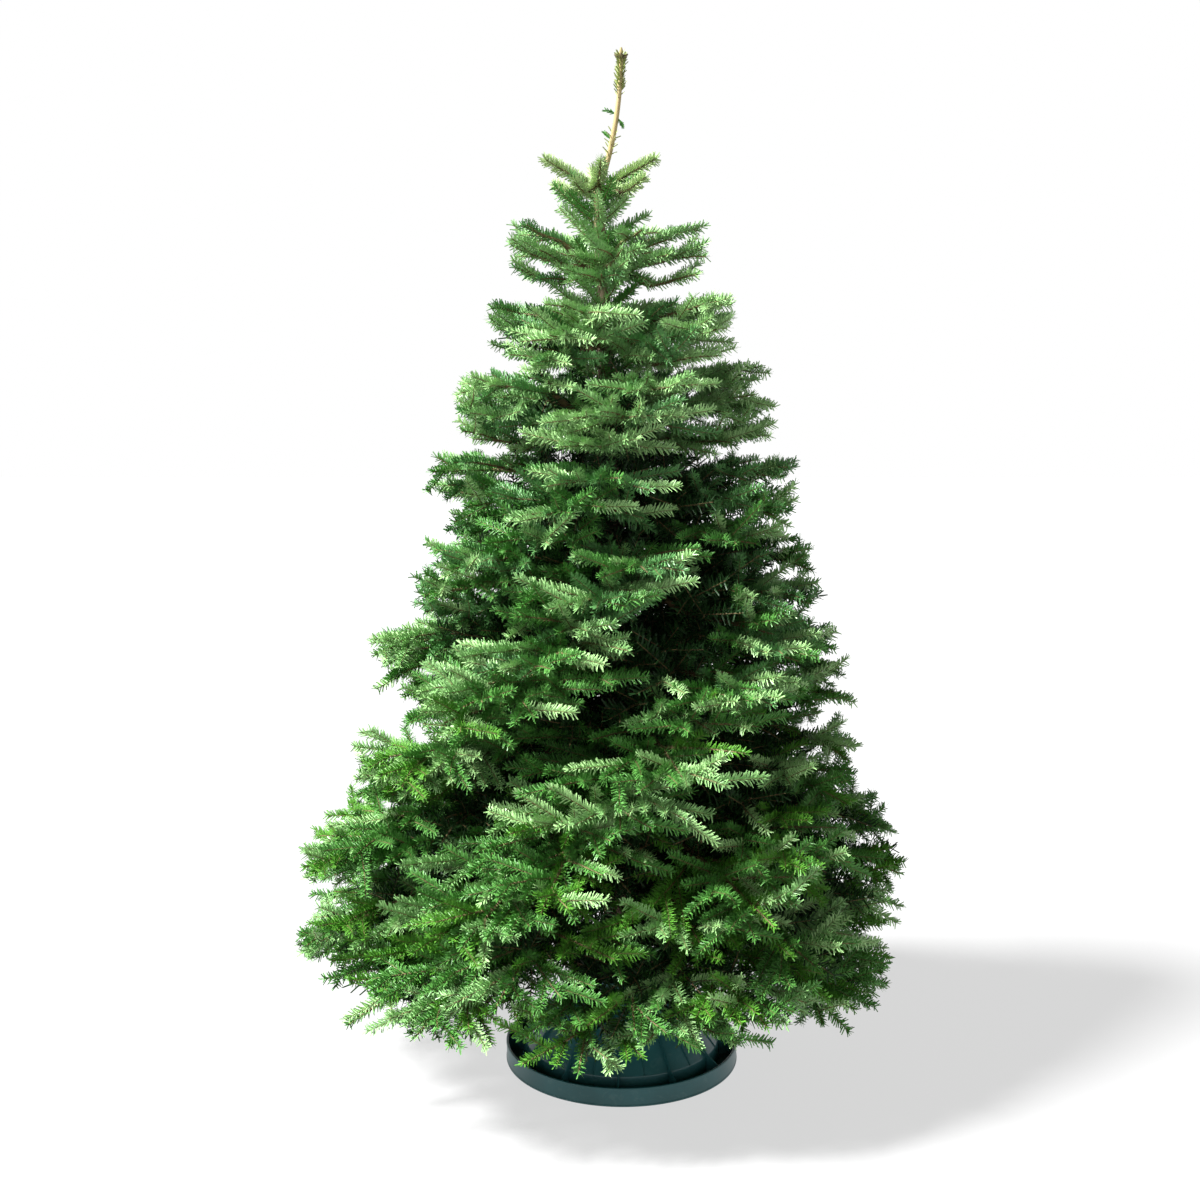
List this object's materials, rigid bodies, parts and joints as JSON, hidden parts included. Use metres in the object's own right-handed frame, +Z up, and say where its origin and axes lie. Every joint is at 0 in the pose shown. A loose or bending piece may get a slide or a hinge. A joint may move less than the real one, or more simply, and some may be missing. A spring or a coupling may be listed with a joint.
{
  "type": "fir christmas tree in a water stand",
  "caption": "Cut fir Christmas tree, undecorated, with tiered boughs of short needles round one leaning trunk, standing in a round ribbed plastic water stand.",
  "frame": {"origin": "middle of the stand's flat underside, on the floor", "axes": "+Z up along the trunk, +X to the right and +Y to the back as the tree is seen from the front"},
  "size_m": [1.2009, 1.0068, 2.0002],
  "materials": {
    "needles": "glossy flat needles, mid green with pale tips, dark inside the crown and yellower low down",
    "bark": "grey brown bark, fine and smooth, paler and yellower on the leader",
    "stand_plastic": "moulded dark teal plastic with a soft sheen",
    "screw_steel": "plain zinc-plated steel"
  },
  "bodies": {
    "root": {"bough_1": "bark", "bough_2": "bark", "bough_3": "bark", "bough_4": "bark", "bough_5": "bark", "bough_6": "bark", "clamp_screw_1": "screw_steel", "clamp_screw_2": "screw_steel", "clamp_screw_3": "screw_steel", "clamp_screw_4": "screw_steel", "stand_base": "stand_plastic", "stand_bucket": "stand_plastic", "trunk": "bark", "whorl_10_foliage_1": "needles", "whorl_10_foliage_2": "needles", "whorl_10_foliage_3": "needles", "whorl_10_foliage_4": "needles", "whorl_10_foliage_5": "needles", "whorl_10_foliage_6": "needles", "whorl_1_foliage_1": "needles", "whorl_1_foliage_2": "needles", "whorl_1_foliage_3": "needles", "whorl_1_foliage_4": "needles", "whorl_2_foliage_1": "needles", "whorl_2_foliage_2": "needles", "whorl_2_foliage_3": "needles", "whorl_2_foliage_4": "needles", "whorl_3_foliage_1": "needles", "whorl_3_foliage_2": "needles", "whorl_3_foliage_3": "needles", "whorl_3_foliage_4": "needles", "whorl_4_foliage_1": "needles", "whorl_4_foliage_2": "needles", "whorl_4_foliage_3": "needles", "whorl_4_foliage_4": "needles", "whorl_5_foliage_1": "needles", "whorl_5_foliage_2": "needles", "whorl_5_foliage_3": "needles", "whorl_5_foliage_4": "needles", "whorl_6_foliage_1": "needles", "whorl_6_foliage_2": "needles", "whorl_6_foliage_3": "needles", "whorl_6_foliage_4": "needles", "whorl_6_foliage_5": "needles", "whorl_7_foliage_1": "needles", "whorl_7_foliage_2": "needles", "whorl_7_foliage_3": "needles", "whorl_7_foliage_4": "needles", "whorl_7_foliage_5": "needles", "whorl_8_foliage_1": "needles", "whorl_8_foliage_2": "needles", "whorl_8_foliage_3": "needles", "whorl_8_foliage_4": "needles", "whorl_8_foliage_5": "needles", "whorl_9_foliage_1": "needles", "whorl_9_foliage_2": "needles", "whorl_9_foliage_3": "needles", "whorl_9_foliage_4": "needles", "whorl_9_foliage_5": "needles", "whorl_9_foliage_6": "needles"}
  },
  "joints": []
}
